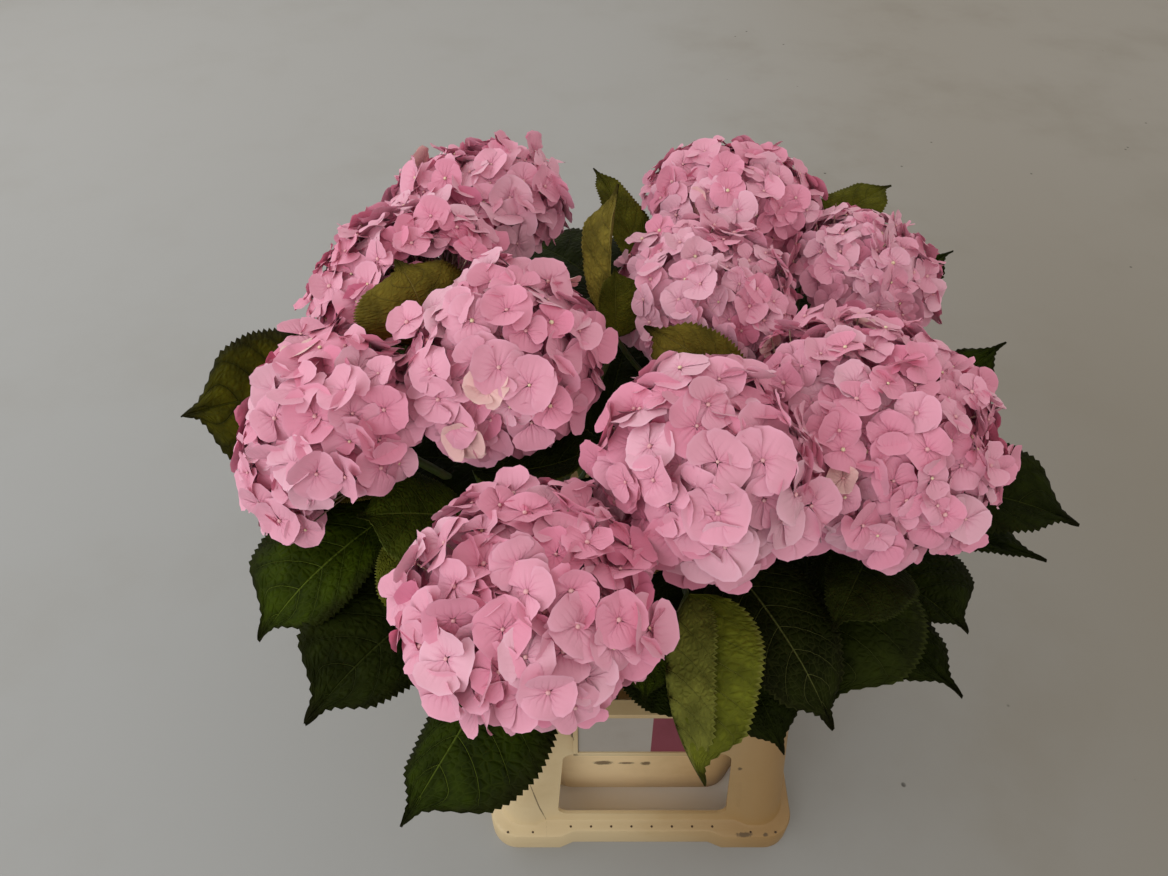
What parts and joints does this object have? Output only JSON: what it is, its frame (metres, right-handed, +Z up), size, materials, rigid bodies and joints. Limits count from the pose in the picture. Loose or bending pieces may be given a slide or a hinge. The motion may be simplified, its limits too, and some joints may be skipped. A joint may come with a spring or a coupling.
{
  "type": "cut hydrangea stems in a flower container",
  "caption": "Pink mophead hydrangea stems with broad leaves, standing in a cream rectangular plastic flower container with windowed walls and a label card.",
  "frame": {"origin": "centre of the container's flat underside, on the surface it stands on", "axes": "+Z up; the container's longer sides run along Y, and the end wall with the label card faces -Y; +X is to the right of someone who looks at the label card"},
  "size_m": [0.7516, 0.7004, 0.6555],
  "materials": {
    "container": "satin cream polypropylene",
    "label_card": "matt printed card, white with a mauve end",
    "stems": "fresh green stem, smooth",
    "leaves": "living leaf, satin, with sunken veins",
    "blooms": "soft matt petals"
  },
  "bodies": {
    "root": {"bucket": "container", "skirt": "container", "label_card": "label_card", "stem_01": "stems", "stem_02": "stems", "stem_03": "stems", "stem_04": "stems", "stem_05": "stems", "stem_06": "stems", "stem_07": "stems", "stem_08": "stems", "stem_09": "stems", "stem_10": "stems", "leaves_01": "leaves", "leaves_02": "leaves", "leaves_03": "leaves", "leaves_04": "leaves", "leaves_05": "leaves", "leaves_06": "leaves", "leaves_07": "leaves", "leaves_08": "leaves", "leaves_09": "leaves", "leaves_10": "leaves", "bloom_01": "blooms", "bloom_02": "blooms", "bloom_03": "blooms", "bloom_04": "blooms", "bloom_05": "blooms", "bloom_06": "blooms", "bloom_07": "blooms", "bloom_08": "blooms", "bloom_09": "blooms", "bloom_10": "blooms"}
  },
  "joints": []
}
